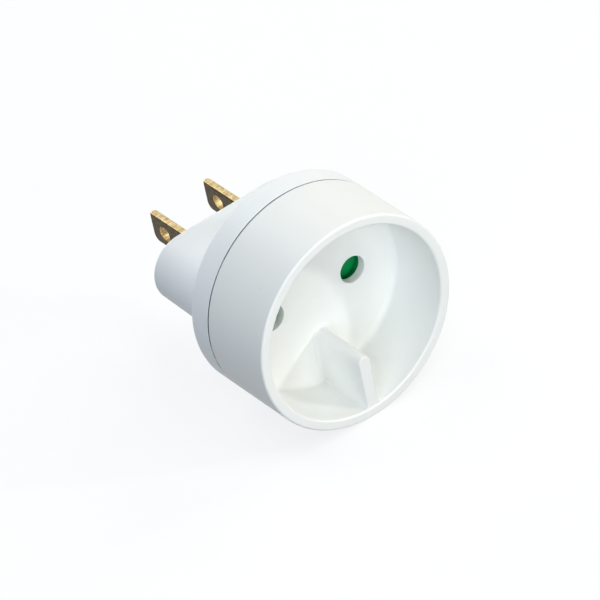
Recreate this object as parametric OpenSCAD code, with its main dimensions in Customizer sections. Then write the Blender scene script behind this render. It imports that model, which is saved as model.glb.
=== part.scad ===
// Travel plug adapter: a round European socket cup in front and two flat
// American blades behind, in the frame of the wall it is plugged into.
// Millimetres. The origin is the centre of the face that meets the wall,
// +Y points into the wall and +Z points up.

/* [Housing] */
// Outer diameter of the round body
body_d = 43.3; // [43:0.1:44.5]
// Length from the rim of the cup to the wall face
total_len = 40; // [39:0.1:42]
// Distance from the back of the recess floor to the seam between the shells
seam_lap = 1; // [0.8:0.1:1.6]
// Thickness of the rear shell's walls
wall = 2; // [1.8:0.1:2.1]

/* [Cup] */
// Thickness of the wall round the recess that takes the plug
rim_t = 2.1; // [1.9:0.05:2.3]
// Depth of the recess
recess_depth = 13.5; // [13:0.1:13.7]
// Thickness of the recess floor
floor_t = 1.8; // [1.6:0.1:2]
// Radius of the fillet round the recess floor
floor_fillet = 1.2; // [0.8:0.1:1.8]
// Amount by which the recess narrows towards its floor, on the radius
recess_draft = 0.4; // [0:0.1:0.6]
// Distance between the two pin holes
pin_spacing = 19; // [18.8:0.1:19.2]
// Diameter of a pin hole
pin_hole_d = 5.5; // [5.2:0.1:5.6]

/* [Fin] */
// Thickness of the fin along its top land
fin_top_t = 2.5; // [1.6:0.1:2.6]
// Thickness of the fin where it meets the floor
fin_foot_t = 3; // [2.6:0.1:3.4]
// Depth of the fin's top land below the rim
fin_drop = 0.2; // [0:0.1:2]
// Distance from the axis to the centre of the fin's round end
fin_reach = 9.4; // [8.8:0.1:10]

/* [Nose] */
// Width of the nose at the wall face
nose_w = 34.8; // [34:0.1:35.4]
// Height of the nose at the wall face
nose_h = 14; // [13.8:0.1:14.6]
// Growth of the nose's half width towards its root
nose_draft = 0.3; // [0.1:0.1:0.5]
// Radius of the nose's front edge
nose_edge = 0.6; // [0.3:0.1:1]

/* [Blades] */
// Distance between the two blades
blade_spacing = 12.7; // [12.6:0.1:12.8]
// Length of a blade outside the wall face
blade_len = 14.9; // [14.5:0.1:17]
// Height of a blade
blade_h = 6.3; // [6.1:0.1:6.5]
// Thickness of a blade
blade_t = 1.5; // [1.4:0.1:1.6]
// Diameter of the hole near a blade's tip
blade_hole_d = 3; // [2.8:0.1:3.6]
// Distance from a blade's tip to the centre of its hole
blade_hole_back = 4.5; // [4:0.1:4.8]

/* [Shutter] */
// Depth of the space for the shutter, from the floor's back to the rear shell
shutter_room = 4.6; // [4.4:0.1:5]
// Travel of the shutter from closed to open
shutter_travel = 6.4; // [6.3:0.1:6.6]
// Thickness of the shutter plate
shutter_t = 1.8; // [1.6:0.1:2]
// Number of turns of the shutter spring
spring_turns = 10; // [8:1:11]

/* [Hidden] */
$fn = 96;

// Amount by which a cutting shape runs past the face that it cuts
over = 0.5;
body_r = body_d / 2;
recess_r = body_r - rim_t;
pin_x = pin_spacing / 2;
blade_x = blade_spacing / 2;
// Places along the axis, counted from the wall face
rim_y = -total_len;
floor_y = rim_y + recess_depth;
back_y = floor_y + floor_t;
seam_y = back_y + seam_lap;
shelf_y = back_y + shutter_room;
shoulder_y = shelf_y + wall;
// Rounded edges, and the shadow gap that hides the seam's unevenness
rim_edge = 0.4;
shoulder_edge = 0.7;
seam_gap = 0.2;
seam_gap_depth = 0.8;
// Lengths by which ribs and the fin run into the walls that carry them
fin_root = 0.8;
rib_root = wall / 2;
post_y = floor_y + floor_t / 2;
// The rear shell's lip, which centres it in the socket shell
skirt_r = recess_r;
lip_gap = 0.1;
lip_r = skirt_r - lip_gap;
lip_t = 1.2;
lip_len = seam_y - back_y - lip_gap;
// The nose and its hollow
nose_r = nose_h / 2;
nose_x = nose_w / 2 - nose_r;
hollow_r = nose_r - wall + 0.1;
end_y = -wall;
// The plate that keeps the contacts in the nose
retainer_t = 1.5;
retainer_gap = 0.15;
retainer_back_y = shelf_y + retainer_t;
retainer_hole_r = 2.9;
rib_t = 1.2;
// The contact sleeve, whose flat side lies along the blade's outer face
sheet_t = 0.5;
sleeve_out_r = pin_x - blade_x - blade_t / 2;
sleeve_in_r = sleeve_out_r - sheet_t;
sleeve_front_y = retainer_back_y;
sleeve_back_y = -7.6;
sleeve_len = sleeve_back_y - sleeve_front_y;
sleeve_flare = 0.5;
sleeve_waist = 0.15;
// The mouth takes a ninth of the sleeve, the clip two ninths and the collar a fifth
mouth_len = sleeve_len / 9;
collar_len = sleeve_len / 5;
slot_w = 0.7;
tongue_h = 4.4;
tongue_y = end_y - 0.6;
rib_z = sleeve_out_r + sleeve_flare + 0.2;
clip_t = 0.4;
clip_len = 2 * mouth_len;
clip_y = sleeve_front_y + mouth_len + clip_t;
clip_gap_w = 1.2;
// The blade's hidden tail
tail_h = blade_h + 1.4;
tail_y = -7;
blade_gap = 0.1;
edge_bevel = 0.3;
tip_round_top = 0.5;
tip_round_low = 1.4;
tip_bevel = 0.35;
tip_bevel_len = 0.8;
rivet_y = (tail_y + end_y) / 2;
rivet_r = 1;
rivet_head_r = 1.7;
rivet_head_t = 0.6;
rivet_draft = 0.3;
// The shutter's outline, its openings and its ramps
shutter_gap = 0.1;
guide_gap = 0.15;
gate_r = pin_hole_d / 2 + 0.25;
shutter_w = pin_spacing + 2 * gate_r + 1.8;
shutter_top_z = shutter_travel + gate_r + 1;
shutter_low_z = -4.6;
shutter_front_y = back_y + shutter_gap;
shutter_back_y = shutter_front_y + shutter_t;
ramp_back_y = shelf_y - 0.6;
ramp_w = 2 * gate_r;
ramp_wall = 0.5;
corner_r = 1.4;
shutter_reach = lip_r - lip_t - guide_gap;
guide_t = 1.2;
guide_h = 17.2;
guide_back_y = shelf_y - 0.8;
stop_w = 2;
stop_x = shutter_w / 2 - 2.4;
// The coil spring and its two seats
spring_y = (back_y + shelf_y) / 2;
spring_out_r = 1.95;
wire_d = 0.45;
// Rise of an end turn as a share of a middle turn's
end_rise = 0.35;
seat_top_z = 3;
peg_r = 1;
peg_len = 1.6;
slot_half = spring_out_r + 0.6;
wire_sides = 8;
steps_per_turn = 16;
// The screws, their bosses and their counterbores
boss_r = 2.6;
boss_gap = 0.45;
boss_z = lip_r - lip_t - boss_gap - boss_r;
seat_low_z = boss_r - boss_z;
boss_y = shelf_y - 1;
screw_r = 1.25;
pilot_r = 1.15;
screw_clear_r = 1.6;
pilot_y = floor_y + 0.8;
point_y = pilot_y + 0.4;
point_len = 1;
head_r = 2.5;
head_t = 1.5;
sink_r = head_r + 0.3;
sink_depth = 1.7;
cross_w = 0.6;
cross_len = 2.8;
cross_depth = 0.8;

// Draws a flat outline in X and Z, and thickens it from one place along Y to another
module plate_y(from_y, to_y) {
    translate([0, to_y, 0])
        rotate([90, 0, 0])
            linear_extrude(to_y - from_y)
                children();
}

// Turns a profile of radius and place along Y about the axis
module turned() {
    rotate([-90, 0, 0])
        rotate_extrude()
            children();
}

// A cylinder along Y from one place to another
module round_y(r, from_y, to_y) {
    translate([0, from_y, 0])
        rotate([-90, 0, 0])
            cylinder(h = to_y - from_y, r = r);
}

// The waste outside a round corner that is centred on the origin
module corner_waste(r) {
    difference() {
        square(r + over);
        circle(r);
    }
}

// The corner between the recess floor and its drafted wall, filled to a radius
module fillet_fill(r) {
    lean = atan(recess_draft / (recess_depth - rim_edge));
    centre_r = recess_r - recess_draft + r * tan(lean) - r / cos(lean);
    translate([centre_r, floor_y - r])
        difference() {
            polygon([
                [0, 0],
                [r * cos(lean), r * sin(lean)],
                [r + over, r * sin(lean)],
                [r + over, r + over],
                [0, r + over]
            ]);
            circle(r);
        }
}

// An oblong outline with round ends
module oblong(half_x, r) {
    square([2 * half_x, 2 * r], center = true);
    for (side = [-1, 1])
        translate([side * half_x, 0])
            circle(r);
}

// One left and one right copy of whatever stands on the right
module both_sides() {
    for (side = [0, 1])
        mirror([side, 0, 0])
            children();
}

// Section of the cup: the drafted recess, its floor and the shallow skirt behind
module cup_profile() {
    floor_r = recess_r - recess_draft;
    difference() {
        translate([0, rim_y])
            square([body_r, seam_y - rim_y]);
        polygon([
            [0, rim_y - over],
            [recess_r, rim_y - over],
            [recess_r, rim_y + rim_edge],
            [floor_r, floor_y],
            [0, floor_y]
        ]);
        translate([0, back_y])
            square([skirt_r, seam_y - back_y + over]);
        translate([body_r - rim_edge, rim_y + rim_edge])
            mirror([0, 1])
                corner_waste(rim_edge);
        translate([recess_r + rim_edge, rim_y + rim_edge])
            rotate(180)
                corner_waste(rim_edge);
    }
    fillet_fill(floor_fillet);
}

// The fin that keeps earthed plugs out, drafted on both flanks and on its round end
module fin() {
    top_y = rim_y + fin_drop;
    slope = (fin_foot_t - fin_top_t) / 2 / (floor_y - top_y);
    foot_half = fin_foot_t / 2 + slope * (post_y - floor_y);
    top_half = fin_top_t / 2;
    root_z = recess_r + fin_root;
    translate([0, top_y, -fin_reach])
        rotate([-90, 0, 0])
            cylinder(h = post_y - top_y, r1 = top_half, r2 = foot_half);
    translate([0, 0, -root_z])
        linear_extrude(root_z - fin_reach)
            polygon([
                [-top_half, top_y],
                [top_half, top_y],
                [foot_half, post_y],
                [-foot_half, post_y]
            ]);
}

// Rails, stops and spring seat that the shutter runs in, moulded behind the floor
module shutter_track() {
    rail_x = shutter_w / 2 + guide_gap;
    both_sides() {
        translate([rail_x, post_y, -guide_h / 2])
            cube([guide_t, guide_back_y - post_y, guide_h]);
        translate([stop_x, post_y, shutter_top_z + shutter_gap])
            cube([stop_w, shutter_back_y - post_y, guide_t]);
    }
    translate([-slot_half, post_y, seat_low_z - guide_t])
        cube([2 * slot_half, guide_back_y - post_y, guide_t]);
    translate([0, spring_y, seat_low_z - guide_t / 2])
        cylinder(h = peg_len + guide_t / 2, r = peg_r);
}

// Front half of the housing, with the recess for the plug
module socket_shell() {
    color("#e9edec")
        difference() {
            union() {
                turned()
                    cup_profile();
                fin();
                shutter_track();
                for (side = [-1, 1])
                    translate([0, 0, side * boss_z])
                        round_y(boss_r, post_y, boss_y);
            }
            for (side = [-1, 1]) {
                translate([side * pin_x, 0, 0])
                    round_y(pin_hole_d / 2, floor_y - over, back_y + over);
                translate([0, 0, side * boss_z])
                    round_y(pilot_r, pilot_y, boss_y + over);
            }
        }
}

// Section of the rear shell's round part, with the shoulder and the lip
module ring_profile() {
    inner_r = lip_r - lip_t;
    difference() {
        translate([0, seam_y])
            square([body_r, shoulder_y - seam_y]);
        translate([0, seam_y - over])
            square([inner_r, shelf_y - seam_y + over]);
        translate([body_r - shoulder_edge, shoulder_y - shoulder_edge])
            corner_waste(shoulder_edge);
        translate([body_r - seam_gap_depth, seam_y - over])
            square([seam_gap_depth + over, seam_gap + over]);
    }
    translate([inner_r, seam_y - lip_len])
        square([lip_t, lip_len + over]);
}

// Half section of the nose: drafted side, rounded front edge
module nose_profile() {
    root_r = nose_r + nose_draft;
    translate([0, -nose_edge - over])
        square([nose_r - nose_edge, nose_edge + over]);
    polygon([
        [0, shoulder_y - rib_root],
        [root_r, shoulder_y - rib_root],
        [root_r, shoulder_y],
        [nose_r, -nose_edge],
        [0, -nose_edge]
    ]);
    translate([nose_r - nose_edge, -nose_edge])
        circle(nose_edge);
}

// The nose as one drafted oblong: two turned ends and a straight middle
module nose_block() {
    both_sides()
        translate([nose_x, 0, 0])
            turned()
                nose_profile();
    translate([-nose_x, 0, 0])
        rotate([90, 0, 90])
            linear_extrude(2 * nose_x)
                for (side = [0, 1])
                    mirror([0, side])
                        rotate(-90)
                            nose_profile();
}

// Rear half of the housing, with the nose that holds the blades
module plug_shell() {
    color("#d2d8da")
        difference() {
            union() {
                difference() {
                    union() {
                        turned()
                            ring_profile();
                        nose_block();
                    }
                    plate_y(shelf_y - over, end_y)
                        oblong(nose_x, hollow_r);
                }
                inner_ribs();
                for (side = [-1, 1])
                    translate([0, 0, side * boss_z])
                        round_y(boss_r, boss_y, shelf_y + rib_root);
            }
            both_sides()
                translate([blade_x, 0, 0])
                    cube([blade_t + 2 * blade_gap, 4 * wall, blade_h + 2 * blade_gap], center = true);
            for (side = [-1, 1])
                translate([0, 0, side * boss_z]) {
                    round_y(sink_r, shoulder_y - sink_depth, shoulder_y + over);
                    round_y(screw_clear_r, boss_y - over, shoulder_y);
                }
        }
}

// Partition between the two live sides, and the ribs that steady each sleeve
module inner_ribs() {
    rib_len = end_y - retainer_back_y + rib_root;
    reach = hollow_r + rib_root;
    translate([-rib_t / 2, retainer_back_y, -reach])
        cube([rib_t, rib_len, 2 * reach]);
    both_sides()
        for (up = [0, 1])
            mirror([0, 0, up])
                translate([pin_x - rib_t / 2, retainer_back_y, rib_z])
                    cube([rib_t, rib_len, reach - rib_z]);
}

// Outline of the shutter plate with rounded corners and the slot for the spring
module shutter_outline() {
    inner_w = shutter_w - 2 * corner_r;
    inner_h = shutter_top_z - shutter_low_z - 2 * corner_r;
    difference() {
        union() {
            translate([-inner_w / 2, shutter_low_z])
                square([inner_w, inner_h + 2 * corner_r]);
            translate([-shutter_w / 2, shutter_low_z + corner_r])
                square([shutter_w, inner_h]);
            for (side = [-1, 1], z = [shutter_low_z + corner_r, shutter_top_z - corner_r])
                translate([side * inner_w / 2, z])
                    circle(corner_r);
        }
        translate([-slot_half, shutter_low_z - over])
            square([2 * slot_half, seat_top_z - shutter_low_z + over]);
        for (side = [-1, 1])
            translate([side * pin_x, shutter_travel])
                circle(gate_r);
    }
}

// The slope that a pin's tip rides down as it pushes the shutter aside
module ramp_cut() {
    deep_y = ramp_back_y - ramp_wall;
    translate([pin_x - ramp_w / 2, 0, 0])
        rotate([90, 0, 90])
            linear_extrude(ramp_w)
                polygon([
                    [shutter_front_y - over, -gate_r],
                    [shutter_front_y, -gate_r],
                    [deep_y, shutter_travel - gate_r],
                    [deep_y, shutter_travel],
                    [shutter_front_y - over, shutter_travel]
                ]);
}

// Green shutter that closes both pin holes until two pins push at once
module shutter() {
    ramp_low_z = -gate_r - ramp_wall;
    color("#0a7a42")
        difference() {
            union() {
                plate_y(shutter_front_y, shutter_back_y)
                    intersection() {
                        shutter_outline();
                        circle(shutter_reach);
                    }
                both_sides()
                    translate([pin_x - ramp_w / 2 - ramp_wall, shutter_front_y, ramp_low_z])
                        cube([
                            ramp_w + 2 * ramp_wall,
                            ramp_back_y - shutter_front_y,
                            shutter_travel - gate_r + ramp_wall - ramp_low_z
                        ]);
                translate([0, spring_y, seat_top_z - peg_len])
                    cylinder(h = peg_len + guide_t, r = peg_r);
                translate([-slot_half, shutter_front_y, seat_top_z])
                    cube([2 * slot_half, ramp_back_y - shutter_front_y, guide_t]);
            }
            both_sides() {
                ramp_cut();
                translate([pin_x, 0, shutter_travel])
                    round_y(gate_r, shutter_front_y - over, ramp_back_y + over);
            }
        }
}

// Compression spring as one swept wire with closed ends
module shutter_spring() {
    free_len = seat_top_z - seat_low_z - wire_d;
    coil_r = spring_out_r - wire_d / 2;
    rings = spring_turns * steps_per_turn;
    // Share of the length reached at a share of the turns, flat over each end's first turn
    rise = function (t) let (f = 1 / spring_turns, e = end_rise)
        t < f ? e * t * t / f : t > 1 - f ? 1 - e * (1 - t) * (1 - t) / f
        : e * f + (1 - 2 * e * f) * (t - f) / (1 - 2 * f);
    points = [
        for (i = [0:rings], k = [0:wire_sides - 1])
            let (
                turn = 360 * i / steps_per_turn,
                around = 360 * k / wire_sides,
                r = coil_r + wire_d / 2 * cos(around)
            )
            [
                r * cos(turn),
                r * sin(turn),
                wire_d / 2 + free_len * rise(i / rings) + wire_d / 2 * sin(around)
            ]
    ];
    faces = concat(
        [[for (k = [0:wire_sides - 1]) k]],
        [[for (k = [wire_sides - 1:-1:0]) rings * wire_sides + k]],
        [
            for (i = [0:rings - 1], k = [0:wire_sides - 1])
                let (next = (k + 1) % wire_sides, a = i * wire_sides, b = a + wire_sides)
                [a + next, a + k, b + k, b + next]
        ]
    );
    color("#b9bdc0")
        translate([0, spring_y, seat_low_z])
            polyhedron(points, faces);
}

// Plate that closes the nose's hollow and keeps both contacts in it
module contact_retainer() {
    lead_in = 0.7;
    color("#f0efe9")
        difference() {
            plate_y(shelf_y, retainer_back_y)
                oblong(nose_x, hollow_r - retainer_gap);
            for (side = [-1, 1])
                translate([side * pin_x, 0, 0]) {
                    round_y(retainer_hole_r, shelf_y - over, retainer_back_y + over);
                    translate([0, shelf_y, 0])
                        rotate([-90, 0, 0])
                            cylinder(h = lead_in, r1 = retainer_hole_r + lead_in, r2 = retainer_hole_r);
                }
        }
}

// Section of the sleeve: flared mouth, narrow waist, plain collar
module sleeve_profile() {
    mouth_y = sleeve_front_y + mouth_len;
    collar_y = sleeve_back_y - collar_len;
    polygon([
        [sleeve_in_r + sleeve_flare, sleeve_front_y],
        [sleeve_out_r + sleeve_flare, sleeve_front_y],
        [sleeve_out_r - sleeve_waist, mouth_y],
        [sleeve_out_r - sleeve_waist, clip_y + clip_len],
        [sleeve_out_r, collar_y],
        [sleeve_out_r, sleeve_back_y],
        [sleeve_in_r, sleeve_back_y],
        [sleeve_in_r, collar_y],
        [sleeve_in_r - sleeve_waist, clip_y + clip_len],
        [sleeve_in_r - sleeve_waist, mouth_y]
    ]);
}

// Stamped contact on the right: a slotted sleeve and the tongue that lies on the blade
module contact() {
    face_x = blade_x + blade_t / 2;
    slot_len = sleeve_back_y - collar_len - sleeve_front_y;
    difference() {
        union() {
            translate([pin_x, 0, 0])
                turned()
                    sleeve_profile();
            translate([face_x, sleeve_back_y - collar_len, -tongue_h / 2])
                cube([sheet_t, tongue_y - sleeve_back_y + collar_len, tongue_h]);
        }
        translate([pin_x, sleeve_front_y + slot_len / 2 - over, 0])
            cube([slot_w, slot_len + 2 * over, 2 * (sleeve_out_r + 1)], center = true);
        translate([pin_x, 0, 0])
            round_y(sleeve_in_r, sleeve_back_y - collar_len, sleeve_back_y + over);
        translate([face_x - over, rivet_y, 0])
            rotate([0, 90, 0])
                cylinder(h = sheet_t + 2 * over, r = rivet_r);
    }
}

module contact_right() {
    color("#c9a45c")
        contact();
}

module contact_left() {
    color("#c9a45c")
        mirror([1, 0, 0])
            contact();
}

// Spring steel band that presses the sleeve's two halves on to the pin
module contact_clip() {
    inner_r = sleeve_out_r - sleeve_waist;
    translate([pin_x, 0, 0])
        difference() {
            round_y(inner_r + clip_t, clip_y, clip_y + clip_len);
            round_y(inner_r, clip_y - over, clip_y + clip_len + over);
            translate([inner_r, clip_y + clip_len / 2, 0])
                cube([2 * clip_t + 1, clip_len + 2 * over, clip_gap_w], center = true);
        }
}

module contact_clip_right() {
    color("#aab0b4")
        contact_clip();
}

module contact_clip_left() {
    color("#aab0b4")
        mirror([1, 0, 0])
            contact_clip();
}

// Outline of a blade seen from the side: Y along the blade, Z across it
module blade_outline() {
    difference() {
        union() {
            translate([end_y, -blade_h / 2])
                square([blade_len - end_y - tip_round_low, blade_h]);
            translate([end_y, tip_round_low - blade_h / 2])
                square([blade_len - end_y, blade_h - tip_round_low - tip_round_top]);
            translate([0, blade_h / 2 - tip_round_top])
                square([blade_len - tip_round_top, tip_round_top]);
            translate([blade_len - tip_round_top, blade_h / 2 - tip_round_top])
                circle(tip_round_top);
            translate([blade_len - tip_round_low, tip_round_low - blade_h / 2])
                circle(tip_round_low);
            translate([tail_y, -tail_h / 2])
                square([end_y - tail_y, tail_h]);
        }
        translate([blade_len - blade_hole_back, 0])
            circle(blade_hole_d / 2);
        translate([rivet_y, 0])
            circle(rivet_r);
    }
}

// The waste along one long edge of a blade outside the wall face
module edge_waste() {
    side = edge_bevel * sqrt(2);
    translate([blade_t / 2, (blade_len + over) / 2, blade_h / 2])
        rotate([0, 45, 0])
            cube([side, blade_len + over, side], center = true);
}

// Flat blade on the right, punched, bevelled at its tip and shouldered behind the wall
module blade() {
    half_t = blade_t / 2;
    difference() {
        translate([blade_x - half_t, 0, 0])
            rotate([90, 0, 90])
                linear_extrude(blade_t)
                    blade_outline();
        translate([blade_x, 0, 0])
            for (side = [0, 1], up = [0, 1])
                mirror([side, 0, 0])
                    mirror([0, 0, up])
                        edge_waste();
        translate([blade_x, 0, -blade_h])
            for (side = [0, 1])
                mirror([side, 0, 0])
                    linear_extrude(2 * blade_h)
                        polygon([
                            [half_t - tip_bevel, blade_len],
                            [half_t, blade_len - tip_bevel_len],
                            [half_t + over, blade_len - tip_bevel_len],
                            [half_t + over, blade_len + over],
                            [half_t - tip_bevel, blade_len + over]
                        ]);
    }
}

module blade_right() {
    color("#8f7a4e")
        blade();
}

module blade_left() {
    color("#8f7a4e")
        mirror([1, 0, 0])
            blade();
}

// Rivet that joins a blade's tail to its contact, with a head on both sides
module rivet() {
    inner_x = blade_x - blade_t / 2;
    grip = blade_t + sheet_t;
    translate([inner_x, rivet_y, 0])
        rotate([0, 90, 0]) {
            translate([0, 0, -rivet_head_t])
                cylinder(h = rivet_head_t, r1 = rivet_head_r - rivet_draft, r2 = rivet_head_r);
            cylinder(h = grip, r = rivet_r);
            translate([0, 0, grip])
                cylinder(h = rivet_head_t, r1 = rivet_head_r, r2 = rivet_head_r - rivet_draft);
        }
}

module rivet_right() {
    color("#c2a765")
        rivet();
}

module rivet_left() {
    color("#c2a765")
        mirror([1, 0, 0])
            rivet();
}

// Self-tapping screw that clamps the two shells, on the axis, with a cross slot
module screw() {
    seat_y = shoulder_y - sink_depth;
    tip_y = point_y + point_len;
    difference() {
        union() {
            round_y(head_r, seat_y, seat_y + head_t);
            round_y(screw_r, tip_y, seat_y);
            translate([0, point_y, 0])
                rotate([-90, 0, 0])
                    cylinder(h = point_len, r1 = screw_r / 3, r2 = screw_r);
        }
        for (turn = [0, 90])
            translate([0, seat_y + head_t, 0])
                rotate([0, turn, 0])
                    cube([cross_len, 2 * cross_depth, cross_w], center = true);
    }
}

module screw_top() {
    color("#9ea3a6")
        translate([0, 0, boss_z])
            screw();
}

module screw_bottom() {
    color("#9ea3a6")
        translate([0, 0, -boss_z])
            screw();
}

socket_shell();
plug_shell();
shutter();
shutter_spring();
contact_retainer();
contact_left();
contact_right();
contact_clip_left();
contact_clip_right();
blade_left();
blade_right();
rivet_left();
rivet_right();
screw_top();
screw_bottom();
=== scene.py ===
import math
import bmesh
import bpy
from mathutils import Matrix, Vector


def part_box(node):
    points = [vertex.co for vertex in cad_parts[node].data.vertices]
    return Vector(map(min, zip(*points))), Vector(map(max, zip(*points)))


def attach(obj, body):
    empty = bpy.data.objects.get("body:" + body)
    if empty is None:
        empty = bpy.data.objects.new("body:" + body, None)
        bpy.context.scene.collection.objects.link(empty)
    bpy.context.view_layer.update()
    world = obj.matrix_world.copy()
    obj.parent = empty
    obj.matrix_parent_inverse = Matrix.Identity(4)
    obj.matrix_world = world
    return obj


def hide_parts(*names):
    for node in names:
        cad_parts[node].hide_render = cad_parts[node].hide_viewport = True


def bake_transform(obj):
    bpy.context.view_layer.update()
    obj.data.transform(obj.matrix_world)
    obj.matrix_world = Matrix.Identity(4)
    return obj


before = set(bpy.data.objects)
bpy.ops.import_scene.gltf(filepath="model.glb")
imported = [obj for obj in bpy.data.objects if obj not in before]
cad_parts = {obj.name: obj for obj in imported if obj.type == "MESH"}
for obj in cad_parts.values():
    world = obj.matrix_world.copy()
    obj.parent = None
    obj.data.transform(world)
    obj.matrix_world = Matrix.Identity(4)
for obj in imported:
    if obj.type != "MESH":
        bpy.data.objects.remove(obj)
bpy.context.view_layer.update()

# Socket shell. The front half of the housing, moulded in one shot of white
# ABS: the cup for the plug, its floor with two pin holes and the drafted fin
# at the bottom. Screws from behind clamp it to the plug shell.
MM = 0.001
WALL_T = 2.1
FLOOR_T = 1.8
LIP_GAP = 0.1
SKIRT = 1.0
shell_low, shell_high = [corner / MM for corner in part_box("socket_shell")]
BODY_R = shell_high.x
RECESS_R = BODY_R - WALL_T
RIM_Y = shell_low.y
BACK_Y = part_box("plug_shell")[0].y / MM - LIP_GAP
FLOOR_Y = BACK_Y - FLOOR_T
SEAM_Y = BACK_Y + SKIRT
RECESS_DRAFT = 0.4
RIM_EDGE = 0.45
FLOOR_FILLET = 1.2
SEAM_EDGE = 0.06
PIN_X = 9.5
PIN_HOLE_R = 2.75
PIN_HOLE_EDGE = 0.12
FIN_TOP_DROP = 0.2
FIN_TOP_Y = RIM_Y + FIN_TOP_DROP
FIN_TOP_HALF = 1.25
FIN_FOOT_HALF = 1.5
FIN_END_Z = -9.4
FIN_EDGE = 0.25
FIN_FILLET = 0.7
FIN_FILLET_LEAST = 0.02
FIN_IN_FLOOR = 0.5
FIN_IN_WALL = 0.6
CUTTER_OVER = 1
SHARP_FROM = 32


def arc(centre, radius, start, stop, steps):
    """Points on a circle from one angle to another, in degrees."""
    angles = [math.radians(start + (stop - start) * i / steps) for i in range(steps + 1)]
    return [(centre[0] + radius * math.cos(a), centre[1] + radius * math.sin(a)) for a in angles]


def mesh_piece(name, points, faces):
    """A piece from points in millimetres, with outward normals."""
    mesh = bpy.data.meshes.new(name)
    mesh.from_pydata([Vector(p) * MM for p in points], [], faces)
    shape = bmesh.new()
    shape.from_mesh(mesh)
    bmesh.ops.remove_doubles(shape, verts=shape.verts, dist=1e-7)
    bmesh.ops.recalc_face_normals(shape, faces=shape.faces)
    shape.to_mesh(mesh)
    shape.free()
    piece = bpy.data.objects.new(name, mesh)
    bpy.context.scene.collection.objects.link(piece)
    return piece


def turned(name, profile, turns=256, x=0.0, z=0.0):
    """Turns a closed profile of radius and place along Y about a line along Y."""
    points, faces, rings = [], [], []
    for radius, y in profile:
        if radius < 1e-6:
            rings.append([len(points)] * turns)
            points.append((x, y, z))
            continue
        rings.append(range(len(points), len(points) + turns))
        for i in range(turns):
            a = 2 * math.pi * i / turns
            points.append((x + radius * math.cos(a), y, z + radius * math.sin(a)))
    for low, high in zip(rings, rings[1:] + rings[:1]):
        for i in range(turns):
            j = (i + 1) % turns
            corners = list(dict.fromkeys((low[i], low[j], high[j], high[i])))
            if len(corners) > 2:
                faces.append(corners)
    return mesh_piece(name, points, faces)


def lofted(name, rings):
    """A closed piece through rings that all have the same count of points."""
    size = len(rings[0])
    faces = []
    for start in range(0, (len(rings) - 1) * size, size):
        for i in range(size):
            j = (i + 1) % size
            faces.append((start + i, start + j, start + size + j, start + size + i))
    faces.append(range(size))
    faces.append(range((len(rings) - 1) * size, len(rings) * size))
    return mesh_piece(name, [point for ring in rings for point in ring], faces)


def combine(piece, tool, how):
    """Joins a tool to a piece or cuts it away, and removes the tool."""
    step = piece.modifiers.new("combine", "BOOLEAN")
    step.operation, step.solver, step.object = how, "EXACT", tool
    bpy.context.view_layer.update()
    result = bpy.data.meshes.new_from_object(piece.evaluated_get(bpy.context.evaluated_depsgraph_get()))
    piece.modifiers.clear()
    piece.data = result
    bpy.data.objects.remove(tool)


def smooth(piece):
    """Shades a piece smooth up to an angle and keeps its flat faces flat."""
    piece.data.polygons.foreach_set("use_smooth", [True] * len(piece.data.polygons))
    piece.data.set_sharp_from_angle(angle=math.radians(SHARP_FROM))
    weigh = piece.modifiers.new("flat faces stay flat", "WEIGHTED_NORMAL")
    weigh.keep_sharp = True
    weigh.weight = 100


def cup_profile():
    """Closed section of the cup from the middle of its floor to the back of it."""
    edge, fillet = RIM_EDGE, FLOOR_FILLET
    lean = math.atan(RECESS_DRAFT / (FLOOR_Y - RIM_Y - edge))
    fillet_r = RECESS_R - RECESS_DRAFT + fillet * (math.tan(lean) - 1 / math.cos(lean))
    return (
        [(0, FLOOR_Y)]
        + arc((fillet_r, FLOOR_Y - fillet), fillet, 90, math.degrees(lean), 12)
        + arc((RECESS_R + edge, RIM_Y + edge), edge, 180, 270, 8)
        + arc((BODY_R - edge, RIM_Y + edge), edge, 270, 360, 8)
        + [(BODY_R, SEAM_Y - SEAM_EDGE), (BODY_R - SEAM_EDGE, SEAM_Y)]
        + [(RECESS_R, SEAM_Y), (RECESS_R, BACK_Y), (0, BACK_Y)]
    )


def fin_outline(half, flare, wall_r):
    """Half outline of the fin in X and Z at one level, from its wall fillet to its round end."""
    radius = max(FIN_FILLET - flare, FIN_FILLET_LEAST)
    half = half + flare
    centre_x = half + radius
    centre_z = -math.sqrt((wall_r - radius) ** 2 - centre_x**2)
    tilt = math.degrees(math.atan2(centre_z, centre_x))
    foot = arc((centre_x, centre_z), radius, tilt, -180, 8)
    root = wall_r + FIN_IN_WALL
    in_wall = [(0, -root), (foot[0][0] * root / wall_r, foot[0][1] * root / wall_r)]
    return in_wall + foot + arc((0, FIN_END_Z), half, 0, 90, 16)


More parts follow.
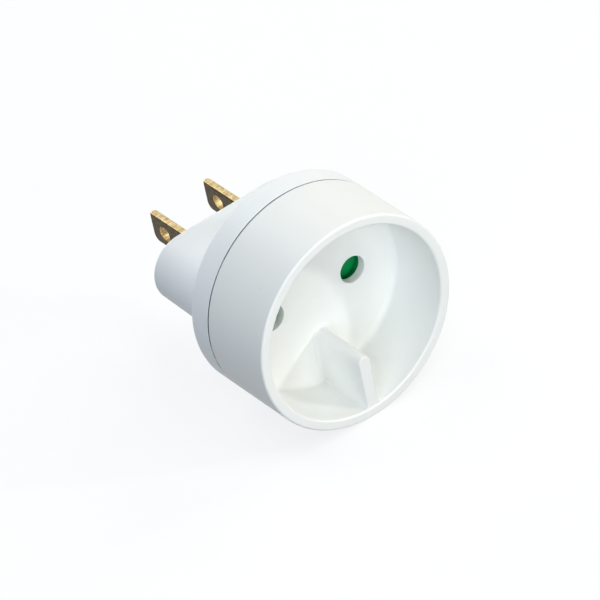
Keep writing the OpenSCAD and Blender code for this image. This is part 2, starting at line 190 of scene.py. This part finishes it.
def fin_piece():
    """The fin lofted from its top land down to its foot, where it flares into the floor."""
    foot = FLOOR_Y - FIN_FILLET
    levels = []
    for a in [math.radians(90 - 15 * i) for i in range(7)]:
        levels.append((FIN_TOP_Y + FIN_EDGE * (1 - math.sin(a)), -FIN_EDGE * (1 - math.cos(a))))
    for i in range(1, 7):
        levels.append((FIN_TOP_Y + (foot - FIN_TOP_Y) * i / 6, 0.0))
    for a in [math.radians(10 * i) for i in range(1, 10)]:
        levels.append((foot + FIN_FILLET * math.sin(a), FIN_FILLET * (1 - math.cos(a))))
    levels.append((FLOOR_Y + FIN_IN_FLOOR, FIN_FILLET))
    rings = []
    for y, flare in levels:
        share = (y - FIN_TOP_Y) / (FLOOR_Y - FIN_TOP_Y)
        half = FIN_TOP_HALF + (FIN_FOOT_HALF - FIN_TOP_HALF) * share
        wall_r = RECESS_R - RECESS_DRAFT * (y - RIM_Y) / (FLOOR_Y - RIM_Y)
        right = fin_outline(half, flare, wall_r)
        left = [(-x, z) for x, z in reversed(right[1:-1])]
        rings.append([(x, y, z) for x, z in right + left])
    return lofted("fin", rings)


def pin_hole(side):
    """Cutter for a pin hole whose front edge is rounded."""
    mouth_r = PIN_HOLE_R + PIN_HOLE_EDGE
    front, back = FLOOR_Y - CUTTER_OVER, BACK_Y + CUTTER_OVER
    lip = arc((mouth_r, FLOOR_Y + PIN_HOLE_EDGE), PIN_HOLE_EDGE, 270, 180, 5)
    profile = [(0, front), (mouth_r, front)] + lip + [(PIN_HOLE_R, back), (0, back)]
    return turned("cutter", profile, 96, side * PIN_X)


socket_shell = turned("moulded_socket_shell", cup_profile())
combine(socket_shell, fin_piece(), "UNION")
for side in (-1, 1):
    combine(socket_shell, pin_hole(side), "DIFFERENCE")
smooth(socket_shell)


def linear(code):
    """An sRGB hex colour as linear values."""
    parts = [int(code[i : i + 2], 16) / 255 for i in (1, 3, 5)]
    return [c / 12.92 if c <= 0.04045 else ((c + 0.055) / 1.055) ** 2.4 for c in parts] + [1.0]


def material(name):
    """A material without nodes, and its tree."""
    made = bpy.data.materials.new(name)
    made.use_nodes = True
    made.node_tree.nodes.clear()
    return made, made.node_tree


def add(tree, kind, inputs=None, **settings):
    """Adds a node with its settings, and sets or links its inputs."""
    node = tree.nodes.new("ShaderNode" + kind)
    for name, value in settings.items():
        setattr(node, name, value)
    for name, value in (inputs or {}).items():
        if isinstance(value, bpy.types.NodeSocket):
            tree.links.new(value, node.inputs[name])
        else:
            node.inputs[name].default_value = value
    return node


def coat(piece, *finishes):
    """Gives a piece its materials, in the order of its slots."""
    piece.data.materials.clear()
    for finish in finishes:
        piece.data.materials.append(finish)


def moulded_plastic(name, pale, dull, roughness, specks, shine=0.25):
    """Injection-moulded plastic: slow tones from the melt's flow, an uneven satin skin and a few specks."""
    # The real skin is finer than half a millimetre, and is drawn this coarse to show.
    flow_mm, wave_mm, skin_mm = 9, 6, 0.5
    wave_depth_mm, skin_depth_mm = 0.08, 0.006
    # Specks are about 2.6 mm apart at the closest, a tenth of a millimetre in radius and partly clear.
    speck_gap_mm, speck_r, speck_cover = 2.6, 0.035, 0.45
    made, tree = material(name)
    place = add(tree, "TexCoord").outputs["Object"]
    flow_scale = 1 / (flow_mm * MM)
    flow = add(tree, "TexNoise", {"Vector": place, "Scale": flow_scale, "Detail": 3.0, "Roughness": 0.55})
    tone = add(tree, "Mix", {0: flow.outputs["Fac"], 6: linear(dull), 7: linear(pale)}, data_type="RGBA")
    cells = add(tree, "TexVoronoi", {"Vector": place, "Scale": 1 / (speck_gap_mm * MM), "Randomness": 1.0})
    near = add(tree, "Math", {0: cells.outputs["Distance"], 1: speck_r}, operation="LESS_THAN")
    pick = add(tree, "SeparateColor", {"Color": cells.outputs["Color"]})
    few = add(tree, "Math", {0: pick.outputs["Red"], 1: specks}, operation="LESS_THAN")
    dust = add(tree, "Math", {0: near.outputs[0], 1: few.outputs[0]}, operation="MULTIPLY")
    faint = add(tree, "Math", {0: dust.outputs[0], 1: speck_cover}, operation="MULTIPLY")
    speckled = {0: faint.outputs[0], 6: tone.outputs[2], 7: linear("#8b8378")}
    colour = add(tree, "Mix", speckled, data_type="RGBA")
    skin_scale = 1 / (skin_mm * MM)
    skin = add(tree, "TexNoise", {"Vector": place, "Scale": skin_scale, "Detail": 4.0, "Roughness": 0.6})
    uneven = {"Value": skin.outputs["Fac"], "To Min": roughness - 0.06, "To Max": roughness + 0.08}
    gloss = add(tree, "MapRange", uneven)
    wave = add(tree, "TexNoise", {"Vector": place, "Scale": 1 / (wave_mm * MM), "Detail": 1.0})
    slow = {"Height": wave.outputs["Fac"], "Strength": 0.25, "Distance": wave_depth_mm * MM}
    slow = add(tree, "Bump", slow).outputs["Normal"]
    fine = {"Height": skin.outputs["Fac"], "Strength": 0.35, "Distance": skin_depth_mm * MM, "Normal": slow}
    fine = add(tree, "Bump", fine).outputs["Normal"]
    shader = add(
        tree,
        "BsdfPrincipled",
        {
            "Base Color": colour.outputs[2],
            "Roughness": gloss.outputs["Result"],
            "Specular IOR Level": shine,
            "IOR": 1.53,
            "Normal": fine,
        },
    )
    add(tree, "OutputMaterial", {"Surface": shader.outputs["BSDF"]})
    return made


# Moulded ABS has a satin, slightly uneven skin: soft wide highlights on a nearly neutral white.
white_abs = moulded_plastic("moulded white ABS", "#f5f6f3", "#f1f3f0", roughness=0.42, specks=0.10)
coat(socket_shell, white_abs)
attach(socket_shell, "housing")
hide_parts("socket_shell")

# Plug shell. The rear half of the housing, moulded in white ABS from its own
# mould, a shade cooler than the front. It carries the nose with the blades,
# and two screws sit in its counterbores.
SHELL_WALL = 2.0
SHOULDER_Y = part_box("contact_retainer")[0].y / MM + SHELL_WALL
SHOULDER_EDGE = 0.7
SEAM_W = 0.34
SEAM_DEPTH = 0.8
SEAM_NEAR = 0.01
LIP_R = RECESS_R - LIP_GAP
LIP_T = 1.2
NOSE_R = 7.0
NOSE_X = 10.4
NOSE_DRAFT = 0.3
NOSE_EDGE = 0.6
NOSE_FILLET = 0.35
NOSE_ROOT = 1.0
HOLLOW_R = 5.1
blade_low, blade_high = [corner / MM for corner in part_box("blade_right")]
BLADE_X = (blade_low.x + blade_high.x) / 2
BLADE_T = blade_high.x - blade_low.x
BLADE_H = 6.3
BLADE_GAP = 0.1
SLIT_REACH = 4
SINK_R = 2.8
SINK_DEPTH = 1.7
SINK_EDGE = 0.2


def centre_of(node):
    """Middle of a node's box, in millimetres."""
    low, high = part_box(node)
    return (low + high) / (2 * MM)


def ring_profile():
    """Closed section of the round part, from its lip past the seam gap and the shoulder to the axis."""
    gap_back = SEAM_Y + SEAM_W
    return (
        [(LIP_R - LIP_T, SHOULDER_Y - SHELL_WALL), (LIP_R - LIP_T, BACK_Y + LIP_GAP)]
        + [(LIP_R, BACK_Y + LIP_GAP), (LIP_R, SEAM_Y)]
        + [(BODY_R - SEAM_DEPTH, SEAM_Y), (BODY_R - SEAM_DEPTH, gap_back)]
        + [(BODY_R - SEAM_EDGE, gap_back), (BODY_R, gap_back + SEAM_EDGE)]
        + arc((BODY_R - SHOULDER_EDGE, SHOULDER_Y - SHOULDER_EDGE), SHOULDER_EDGE, 0, 90, 10)
        + [(0, SHOULDER_Y), (0, SHOULDER_Y - SHELL_WALL)]
    )


def oblong_block(name, levels):
    """A block of the nose's oblong outlines, one for each pair of place along Y and radius."""
    rings = []
    for y, radius in levels:
        outline = arc((NOSE_X, 0), radius, -90, 90, 48) + arc((-NOSE_X, 0), radius, 90, 270, 48)
        rings.append([(x, y, z) for x, z in outline])
    return lofted(name, rings)


def nose_levels():
    """The nose from its root in the shoulder, over the fillet and along the draft, to its rounded end."""
    root_r = NOSE_R + NOSE_DRAFT
    levels = [(SHOULDER_Y - NOSE_ROOT, root_r + NOSE_FILLET)]
    for a in [math.radians(15 * i) for i in range(7)]:
        back, inward = 1 - math.cos(a), 1 - math.sin(a)
        levels.append((SHOULDER_Y + NOSE_FILLET * back, root_r + NOSE_FILLET * inward))
    rounded = arc((NOSE_R - NOSE_EDGE, -NOSE_EDGE), NOSE_EDGE, 0, 90, 8)
    return levels + [(y, radius) for radius, y in rounded]


def blade_slit(side):
    """Cutter for the slit that a blade passes through."""
    half_w, half_h = BLADE_T / 2 + BLADE_GAP, BLADE_H / 2 + BLADE_GAP
    outline = [(-half_w, -half_h), (half_w, -half_h), (half_w, half_h), (-half_w, half_h)]
    ends = (-SLIT_REACH, SLIT_REACH)
    return lofted("slit", [[(side * BLADE_X + x, y, z) for x, z in outline] for y in ends])


def screw_sink(side):
    """Cutter for the counterbore of a screw, with an eased edge."""
    floor, mouth_r, over = SHOULDER_Y - SINK_DEPTH, SINK_R + SINK_EDGE, SHOULDER_Y + CUTTER_OVER
    profile = [(0, floor), (SINK_R, floor), (SINK_R, SHOULDER_Y - SINK_EDGE)]
    profile += [(mouth_r, SHOULDER_Y), (mouth_r, over), (0, over)]
    return turned("sink", profile, 64, 0, side * centre_of("screw_top").z)


plug_shell = turned("moulded_plug_shell", ring_profile())
combine(plug_shell, oblong_block("nose", nose_levels()), "UNION")
combine(plug_shell, oblong_block("hollow", [(RIM_Y, HOLLOW_R), (-SHELL_WALL, HOLLOW_R)]), "DIFFERENCE")
for side in (-1, 1):
    combine(plug_shell, blade_slit(side), "DIFFERENCE")
    combine(plug_shell, screw_sink(side), "DIFFERENCE")
smooth(plug_shell)
# The same moulded ABS from a cooler batch, a little glossier from a newer mould.
cool_abs = moulded_plastic("moulded cool white ABS", "#f6f8f8", "#f2f5f5", roughness=0.40, specks=0.08)


def gap_dust_and_shade(name, darkest, palest):
    """Dust and painted shade in a narrow gap: dark, patchy along its length, and paler towards the top."""
    blotch_mm, paler_from_mm, paler_to_mm = 7, 2, 20
    made, tree = material(name)
    place = add(tree, "TexCoord").outputs["Object"]
    blotch_scale = 1 / (blotch_mm * MM)
    blotches = add(tree, "TexNoise", {"Vector": place, "Scale": blotch_scale, "Detail": 4.0, "Roughness": 0.6})
    height = add(tree, "SeparateXYZ", {"Vector": place}).outputs["Z"]
    rise = {"Value": height, "From Min": paler_from_mm * MM, "From Max": paler_to_mm * MM, "To Max": 0.5}
    paler_up = add(tree, "MapRange", rise)
    both = add(tree, "Math", {0: blotches.outputs["Fac"], 1: paler_up.outputs["Result"]}, operation="ADD")
    share = add(tree, "MapRange", {"Value": both.outputs[0], "From Min": 0.4, "From Max": 1.1})
    tone = add(tree, "Mix", {0: share.outputs["Result"], 6: linear(darkest), 7: linear(palest)}, data_type="RGBA")
    shader = add(tree, "BsdfDiffuse", {"Color": tone.outputs[2], "Roughness": 1.0})
    add(tree, "OutputMaterial", {"Surface": shader.outputs["BSDF"]})
    return made


# Painted shade for the deep gap between the shells, with some grey dust, draws the seam as a dark line.
seam_dust_and_shade = gap_dust_and_shade("dust and painted shade in the seam", "#1f2325", "#a9aeb0")
coat(plug_shell, cool_abs, seam_dust_and_shade)
# Faces inside the seam gap take the dust and painted shade.
for face in plug_shell.data.polygons:
    middle = face.center / MM
    reach = math.hypot(middle.x, middle.z)
    at_seam = SEAM_Y - SEAM_NEAR < middle.y < SEAM_Y + SEAM_W + SEAM_NEAR
    if at_seam and LIP_R + SEAM_NEAR < reach < BODY_R - SEAM_EDGE - SEAM_NEAR:
        face.material_index = 1
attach(plug_shell, "housing")
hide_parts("plug_shell")

# Shutter. One green moulding behind the floor that closes both pin holes. It
# slides down when two pins push on its ramps together. Polypropylene, for it
# has to slide without grease, with a round dish under each pin hole.
DISH_R = 3.9
DISH_DEPTH = 1.4
DISH_EDGE = 0.5
SHUTTER_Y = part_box("shutter")[0].y / MM


def dish(side):
    """Cutter for the dish under a pin hole, round at its bottom edge."""
    front, bottom = SHUTTER_Y - CUTTER_OVER, SHUTTER_Y + DISH_DEPTH
    corner = arc((DISH_R - DISH_EDGE, bottom - DISH_EDGE), DISH_EDGE, 0, 90, 6)
    return turned("dish", [(0, front), (DISH_R, front)] + corner + [(0, bottom)], 64, side * PIN_X)


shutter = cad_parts["shutter"].copy()
shutter.data = shutter.data.copy()
shutter.name = "moulded_shutter"
bpy.context.scene.collection.objects.link(shutter)
for side in (-1, 1):
    combine(shutter, dish(side), "DIFFERENCE")
smooth(shutter)
# Moulded polypropylene is waxy: a deep even green that shines less than the housing.
green_pp = moulded_plastic(
    "moulded green polypropylene", "#019a50", "#018a48", roughness=0.4, specks=0.0, shine=0.1
)
coat(shutter, green_pp)
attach(shutter, "shutter")
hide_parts("shutter")

# Contact retainer. A plain plate moulded in white PBT that closes the hollow
# of the nose and keeps the two contacts apart. It is held by the shells.
# Moulded PBT is a touch creamier and duller than ABS.
white_pbt = moulded_plastic("moulded white PBT", "#efece2", "#e8e4d8", roughness=0.5, specks=0.05)
coat(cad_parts["contact_retainer"], white_pbt)

# Contacts. Two parts stamped and rolled from phosphor bronze strip: a slotted
# sleeve that grips a round pin, and a tongue that lies on the blade's tail.
# The retainer keeps them in the nose, where they are riveted to the blades.
X, Y, Z = range(3)


def drawn_metal(name, bright, dark, roughness, line_mm, along, depth_mm):
    """Metal with fine lines along one axis from rolling, drawing or shearing, and patches of tarnish."""
    # Real lines are a few hundredths of a millimetre wide, and are drawn coarser to show.
    line_length, patch_mm = 30, 0.8
    made, tree = material(name)
    place = add(tree, "TexCoord").outputs["Object"]
    stretch = [1 / (line_mm * MM)] * 3
    stretch[along] /= line_length
    drawn_out = add(tree, "Mapping", {"Vector": place, "Scale": stretch}).outputs[0]
    lines = add(tree, "TexNoise", {"Vector": drawn_out, "Scale": 1.0, "Detail": 3.0, "Roughness": 0.6})
    patch_scale = 1 / (patch_mm * MM)
    patches = add(tree, "TexNoise", {"Vector": place, "Scale": patch_scale, "Detail": 6.0, "Roughness": 0.75})
    both = add(tree, "Mix", {0: 0.5, 2: lines.outputs["Fac"], 3: patches.outputs["Fac"]})
    spread = add(tree, "MapRange", {"Value": both.outputs[0], "From Min": 0.4, "From Max": 0.6})
    tarnished = {0: spread.outputs["Result"], 6: linear(dark), 7: linear(bright)}
    tone = add(tree, "Mix", tarnished, data_type="RGBA")
    uneven = {"Value": lines.outputs["Fac"], "To Min": roughness - 0.08, "To Max": roughness + 0.1}
    gloss = add(tree, "MapRange", uneven)
    relief = add(tree, "Bump", {"Height": lines.outputs["Fac"], "Strength": 0.5, "Distance": depth_mm * MM})
    shader = add(
        tree,
        "BsdfPrincipled",
        {
            "Base Color": tone.outputs[2],
            "Metallic": 1.0,
            "Roughness": gloss.outputs["Result"],
            "Normal": relief.outputs["Normal"],
        },
    )
    add(tree, "OutputMaterial", {"Surface": shader.outputs["BSDF"]})
    return made


# Rolled bronze is a reddish gold, with rolling lines along the sleeve.
bronze = drawn_metal(
    "rolled phosphor bronze", "#cf9d62", "#a97a48", roughness=0.3, line_mm=0.12, along=Y, depth_mm=0.01
)
for node in ("contact_left", "contact_right"):
    coat(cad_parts[node], bronze)

# Contact clips. Open bands bent from spring steel strip, snapped round the
# sleeves to press them on the pins.
# Rolled steel strip is bright, with fine lines round the band.
strip_steel = drawn_metal(
    "rolled spring steel", "#c9ccd0", "#a3a7ab", roughness=0.28, line_mm=0.1, along=Z, depth_mm=0.006
)
for node in ("contact_clip_left", "contact_clip_right"):
    coat(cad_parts[node], strip_steel)

# Shutter spring. A compression spring coiled from drawn steel wire, between
# the seat on the socket shell and the shutter, which squeezes it as it opens.
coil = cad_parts["shutter_spring"]
spring = bpy.data.objects.new("coiled_shutter_spring", coil.data.copy())
bpy.context.scene.collection.objects.link(spring)
spring.matrix_world = coil.matrix_world
smooth(spring)
# Drawn wire is bright under a faint grey film.
wire_steel = drawn_metal(
    "drawn spring wire", "#bfc3c6", "#8e9296", roughness=0.25, line_mm=0.15, along=Z, depth_mm=0.004
)
coat(spring, wire_steel)
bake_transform(spring)
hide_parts("shutter_spring")

# Blades. Two flat pins punched from rolled brass strip, edges rounded, tips
# eased, a hole near each tip. Their tails are riveted to the contacts. The
# faces are painted dark brown, partly tarnish and partly painted shade for
# their dark reflection, and the punched edges are painted bright, partly
# fresh brass and partly painted highlight.
BLADE_LEN = blade_high.y
BLADE_EDGE = 0.3
BLADE_HOLE_R = 1.5
BLADE_HOLE_EDGE = 0.06
BLADE_HOLE_Y = BLADE_LEN - 4.5
TAIL_Y = blade_low.y
TAIL_H = blade_high.z - blade_low.z
TIP_ROUND_TOP = 0.5
TIP_ROUND_LOW = 1.4
TIP_BEVEL_T = 0.45
TIP_BEVEL_Y = 0.64
RIVET_R = 1.0
ROLLED_FROM = 0.75


def blade_piece(name, side):
    """A blade with rounded long edges: its outline, drawn in layers through its thickness."""
    half_t, half_h = BLADE_T / 2, BLADE_H / 2
    layers = []
    for i in range(13):
        a = math.radians(90 - 15 * i)
        depth = (half_t - BLADE_EDGE) * ((i < 6) - (i > 6)) + BLADE_EDGE * math.sin(a)
        into_bevel = max(0.0, abs(depth) - (half_t - TIP_BEVEL_T))
        tip = BLADE_LEN - into_bevel * TIP_BEVEL_Y / TIP_BEVEL_T
        h = half_h - BLADE_EDGE * (1 - math.cos(a))
        ring = [(TAIL_Y, -TAIL_H / 2), (-SHELL_WALL, -TAIL_H / 2), (-SHELL_WALL, -h)]
        ring += arc((tip - TIP_ROUND_LOW, -h + TIP_ROUND_LOW), TIP_ROUND_LOW, -90, 0, 10)
        ring += arc((tip - TIP_ROUND_TOP, h - TIP_ROUND_TOP), TIP_ROUND_TOP, 0, 90, 6)
        ring += [(-SHELL_WALL, h), (-SHELL_WALL, TAIL_H / 2), (TAIL_Y, TAIL_H / 2)]
        layers.append([(side * BLADE_X + depth, y, z) for y, z in ring])
    return lofted(name, layers)


def cross_hole(radius, edge, x, y):
    """Cutter for a hole through a blade with both edges eased."""
    half_t, mouth_r = BLADE_T / 2, radius + edge
    over = half_t + CUTTER_OVER
    profile = [(0, -over), (mouth_r, -over), (mouth_r, -half_t), (radius, -half_t + edge)]
    profile += [(radius, half_t - edge), (mouth_r, half_t), (mouth_r, over), (0, over)]
    cutter = turned("cutter", profile, 64)
    turn = Matrix.Translation((x * MM, y * MM, 0)) @ Matrix.Rotation(math.pi / 2, 4, "Z")
    cutter.data.transform(turn)
    return cutter


# Rolled brass gone brown and mottled with handling, painted darker still as painted shade for the dark
# reflection on the flat faces.
brass_tarnish_and_painted_shade = drawn_metal(
    "rolled brass with tarnish and painted shade", "#655839", "#16120a", roughness=0.45, line_mm=0.12, along=Y, depth_mm=0.012
)
# Punched brass, on the edges and in the hole, is still yellow, painted brighter as a painted highlight, with
# lines across the thickness.
brass_edge_and_painted_highlight = drawn_metal(
    "punched brass edge with painted highlight", "#ead6a6", "#a08350", roughness=0.42, line_mm=0.24, along=X, depth_mm=0.02
)
for name, side in (("punched_blade_left", -1), ("punched_blade_right", 1)):
    blade = blade_piece(name, side)
    combine(blade, cross_hole(BLADE_HOLE_R, BLADE_HOLE_EDGE, side * BLADE_X, BLADE_HOLE_Y), "DIFFERENCE")
    combine(blade, cross_hole(RIVET_R, 0.0, side * BLADE_X, centre_of("rivet_right").y), "DIFFERENCE")
    smooth(blade)
    coat(blade, brass_tarnish_and_painted_shade, brass_edge_and_painted_highlight)
    # Faces that face sideways take the dark brass with painted shade, the rest the bright brass with painted
    # highlight.
    for face in blade.data.polygons:
        face.material_index = 0 if abs(face.normal.x) > ROLLED_FROM else 1
    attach(blade, "housing")
    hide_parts("blade_left" if side < 0 else "blade_right")

# Rivets. Two brass rivets, each through a contact's tongue and a blade's tail,
# closed with a head on both sides.
# Headed brass is yellow and smoother than the strip.
brass = drawn_metal(
    "headed brass", "#d8b775", "#b08f52", roughness=0.3, line_mm=0.15, along=X, depth_mm=0.006
)
for node in ("rivet_left", "rivet_right"):
    coat(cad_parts[node], brass)

# Screws. Two self-tapping screws of zinc-plated steel, driven from behind,
# that clamp the shells.
# Zinc plate is a bluish grey, slightly cloudy.
zinc = drawn_metal(
    "zinc-plated steel", "#aab0b5", "#7d848a", roughness=0.4, line_mm=0.3, along=Y, depth_mm=0.02
)
for node in ("screw_top", "screw_bottom"):
    coat(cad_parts[node], zinc)

# Table, lamps and camera. A pale paper table top under the adapter, one small
# key lamp at the right in front of the mouth that throws the shadow in the
# recess, and broad soft lamps all round, a little cooler at the left.
TABLE_HALF = 1200
FIBRE_MM = 1.5
TABLE_GLOW = 0.8


def seen_directly(tree):
    """1 for what the camera, a mirror or glass sees, and 0 for light that falls on a surface."""
    path = add(tree, "LightPath").outputs
    seen = add(tree, "Math", {0: path["Is Camera Ray"], 1: path["Is Glossy Ray"]}, operation="ADD")
    through = {0: seen.outputs[0], 1: path["Is Transmission Ray"]}
    return add(tree, "Math", through, operation="ADD", use_clamp=True).outputs[0]


corners = ((-1, -1), (1, -1), (1, 1), (-1, 1))
table = mesh_piece("table_top", [(x * TABLE_HALF, y * TABLE_HALF, -BODY_R) for x, y in corners], [range(4)])
# Matt paper shows as a plain white that keeps the adapter's shadow, and sends only soft light back.
paper, tree = material("matt white paper")
place = add(tree, "TexCoord").outputs["Object"]
fibre = add(tree, "TexNoise", {"Vector": place, "Scale": 1 / (FIBRE_MM * MM), "Detail": 3.0})
fibres = {0: fibre.outputs["Fac"], 6: linear("#787a7c"), 7: linear("#808284")}
tone = add(tree, "Mix", fibres, data_type="RGBA")
matt = add(tree, "BsdfDiffuse", {"Color": tone.outputs[2]})
share = add(tree, "Math", {0: seen_directly(tree), 1: TABLE_GLOW}, operation="MULTIPLY")
white = add(tree, "Emission", {"Color": (1, 1, 1, 1), "Strength": share.outputs[0]})
top = add(tree, "AddShader", {0: matt.outputs[0], 1: white.outputs[0]})
add(tree, "OutputMaterial", {"Surface": top.outputs[0]})
coat(table, paper)

world = bpy.data.worlds.new("pale room")
bpy.context.scene.world = world
world.use_nodes = True
world.node_tree.nodes.clear()
tree = world.node_tree
unlit = add(tree, "Background", {"Color": (0, 0, 0, 1), "Strength": 0.0})
plain = add(tree, "Background", {"Color": (1, 1, 1, 1), "Strength": 1.0})
room = add(tree, "MixShader", {0: seen_directly(tree), 1: unlit.outputs[0], 2: plain.outputs[0]})
add(tree, "OutputWorld", {"Surface": room.outputs[0]})


def lamp(name, towards, power, colour, distance=1.0, size=0.5):
    """A square soft lamp that looks at the adapter from one side, in watts and metres."""
    light = bpy.data.lights.new(name, "AREA")
    light.size, light.energy, light.color = size, power, linear(colour)[:3]
    fixture = bpy.data.objects.new(name, light)
    bpy.context.scene.collection.objects.link(fixture)
    fixture.location = towards.normalized() * distance
    fixture.rotation_euler = (-towards).to_track_quat("-Z", "Y").to_euler()


lamp("key", Vector((0.63, -0.66, 0.4)), 1.44, "#ffffff", distance=0.8, size=0.06)
lamp("high lamp in front", Vector((0.21, -0.37, 0.91)), 2.45, "#fffdf7")
lamp("high lamp behind", Vector((-0.21, 0.37, 0.91)), 2.9, "#f2f9ff")
lamp("lamp at the right", Vector((0.79, 0, 0.62)), 3.2, "#fffdf7")
lamp("front lamp at the left", Vector((-0.56, -0.56, 0.62)), 2.1, "#eaf3ff")
lamp("low lamp at the left", Vector((-0.7, -0.7, 0.14)), 2.95, "#e2efff")
lamp("low lamp in front", Vector((0, -0.99, 0.14)), 4.2, "#fffef8")
lamp("low lamp behind", Vector((0, 0.99, 0.14)), 4.4, "#f8fcff")

# The camera's place and directions follow from the rim, the seam and the holes in the photograph.
CAMERA_PLACE = Vector((-441.11, RIM_Y - 744.2, 651.11))
CAMERA_RIGHT = Vector((0.7817, -0.59957, -0.17164))
CAMERA_DOWN = Vector((-0.47696, -0.39744, -0.78393))
CAMERA_AHEAD = Vector((0.40181, 0.69467, -0.59665))
camera = bpy.data.cameras.new("camera")
camera.lens = 355.67
camera.sensor_width = 36.0
camera.clip_start, camera.clip_end = 0.1, 20.0
view = bpy.data.objects.new("camera", camera)
bpy.context.scene.collection.objects.link(view)
turn = Matrix((CAMERA_RIGHT, -CAMERA_DOWN, -CAMERA_AHEAD)).transposed()
view.matrix_world = Matrix.Translation(CAMERA_PLACE * MM) @ turn.to_4x4()
bpy.context.scene.camera = view
bpy.context.scene.view_settings.view_transform = "Standard"
